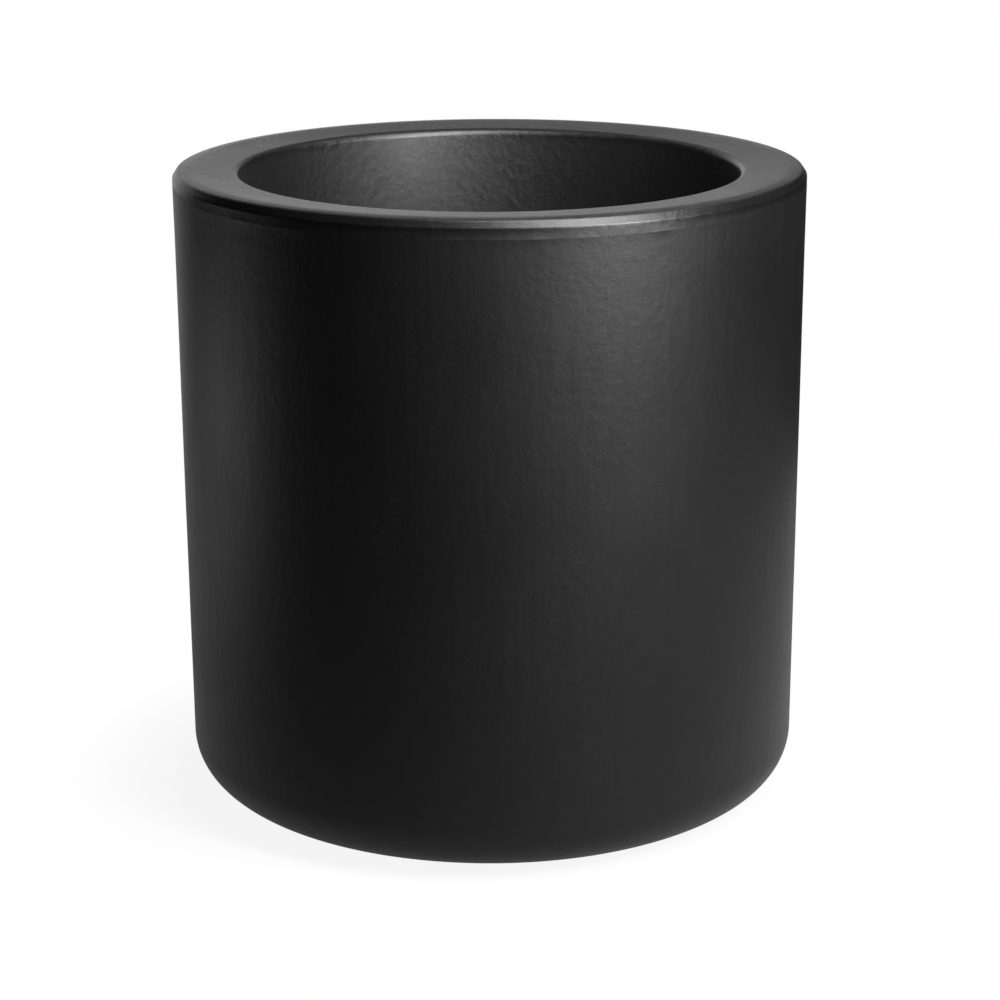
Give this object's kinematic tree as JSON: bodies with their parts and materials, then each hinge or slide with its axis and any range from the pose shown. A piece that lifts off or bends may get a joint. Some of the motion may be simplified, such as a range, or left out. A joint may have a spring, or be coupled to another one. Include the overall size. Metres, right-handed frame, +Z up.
{
  "type": "planter on wheels",
  "caption": "Round double-walled plastic floor planter with a broad flat rim, rolling on swivel castors hidden in a bay under its foot.",
  "frame": {"origin": "on the ground, under the planter's axis", "axes": "+Z up along the planter's axis, -Y towards the front, +X to the right"},
  "size_m": [0.4906, 0.4906, 0.502],
  "materials": {
    "shell_plastic": "charcoal rotationally moulded plastic, fine-grained satin",
    "plug_rubber": "soft black rubber",
    "insert_brass": "machined brass",
    "screw_zinc": "bright zinc plate",
    "pressed_steel": "zinc-plated pressed steel",
    "rivet_steel": "zinc-plated rivet steel",
    "bearing_steel": "polished bearing steel, lightly greased",
    "wheel_nylon": "dark moulded nylon",
    "tread_rubber": "grey non-marking rubber"
  },
  "bodies": {
    "planter": {"planter_shell": "shell_plastic", "drain_plug": "plug_rubber", "threaded_inserts": "insert_brass", "castor_screws": "screw_zinc", "rear_right_top_plate": "pressed_steel", "rear_right_kingpin": "rivet_steel", "rear_left_top_plate": "pressed_steel", "rear_left_kingpin": "rivet_steel", "front_left_top_plate": "pressed_steel", "front_left_kingpin": "rivet_steel", "front_right_top_plate": "pressed_steel", "front_right_kingpin": "rivet_steel"},
    "rear_right_swivel": {"rear_right_balls": "bearing_steel", "rear_right_fork": "pressed_steel", "rear_right_axle_bolt": "screw_zinc", "rear_right_lock_nut": "screw_zinc", "rear_right_bush": "bearing_steel"},
    "rear_right_wheel": {"rear_right_wheel_core": "wheel_nylon", "rear_right_tread": "tread_rubber"},
    "rear_left_swivel": {"rear_left_balls": "bearing_steel", "rear_left_fork": "pressed_steel", "rear_left_axle_bolt": "screw_zinc", "rear_left_lock_nut": "screw_zinc", "rear_left_bush": "bearing_steel"},
    "rear_left_wheel": {"rear_left_wheel_core": "wheel_nylon", "rear_left_tread": "tread_rubber"},
    "front_left_swivel": {"front_left_balls": "bearing_steel", "front_left_fork": "pressed_steel", "front_left_axle_bolt": "screw_zinc", "front_left_lock_nut": "screw_zinc", "front_left_bush": "bearing_steel"},
    "front_left_wheel": {"front_left_wheel_core": "wheel_nylon", "front_left_tread": "tread_rubber"},
    "front_right_swivel": {"front_right_balls": "bearing_steel", "front_right_fork": "pressed_steel", "front_right_axle_bolt": "screw_zinc", "front_right_lock_nut": "screw_zinc", "front_right_bush": "bearing_steel"},
    "front_right_wheel": {"front_right_wheel_core": "wheel_nylon", "front_right_tread": "tread_rubber"}
  },
  "joints": [
    {"name": "rear_right_swivel_turn", "type": "hinge", "parent": "planter", "child": "rear_right_swivel", "pos_m": [0.10047, 0.10047, 0.0456], "axis": [0, 0, 1], "continuous": true},
    {"name": "rear_right_wheel_spin", "type": "hinge", "parent": "rear_right_swivel", "child": "rear_right_wheel", "pos_m": [0.11112, 0.09302, 0.0175], "axis": [-0.5736, -0.8192, 0], "continuous": true},
    {"name": "rear_left_swivel_turn", "type": "hinge", "parent": "planter", "child": "rear_left_swivel", "pos_m": [-0.10047, 0.10047, 0.0456], "axis": [0, 0, 1], "continuous": true},
    {"name": "rear_left_wheel_spin", "type": "hinge", "parent": "rear_left_swivel", "child": "rear_left_wheel", "pos_m": [-0.09302, 0.11112, 0.0175], "axis": [0.8192, -0.5736, 0], "continuous": true},
    {"name": "front_left_swivel_turn", "type": "hinge", "parent": "planter", "child": "front_left_swivel", "pos_m": [-0.10047, -0.10047, 0.0456], "axis": [0, 0, 1], "continuous": true},
    {"name": "front_left_wheel_spin", "type": "hinge", "parent": "front_left_swivel", "child": "front_left_wheel", "pos_m": [-0.11112, -0.09302, 0.0175], "axis": [0.5736, 0.8192, 0], "continuous": true},
    {"name": "front_right_swivel_turn", "type": "hinge", "parent": "planter", "child": "front_right_swivel", "pos_m": [0.10047, -0.10047, 0.0456], "axis": [0, 0, 1], "continuous": true},
    {"name": "front_right_wheel_spin", "type": "hinge", "parent": "front_right_swivel", "child": "front_right_wheel", "pos_m": [0.09302, -0.11112, 0.0175], "axis": [-0.8192, 0.5736, 0], "continuous": true}
  ]
}
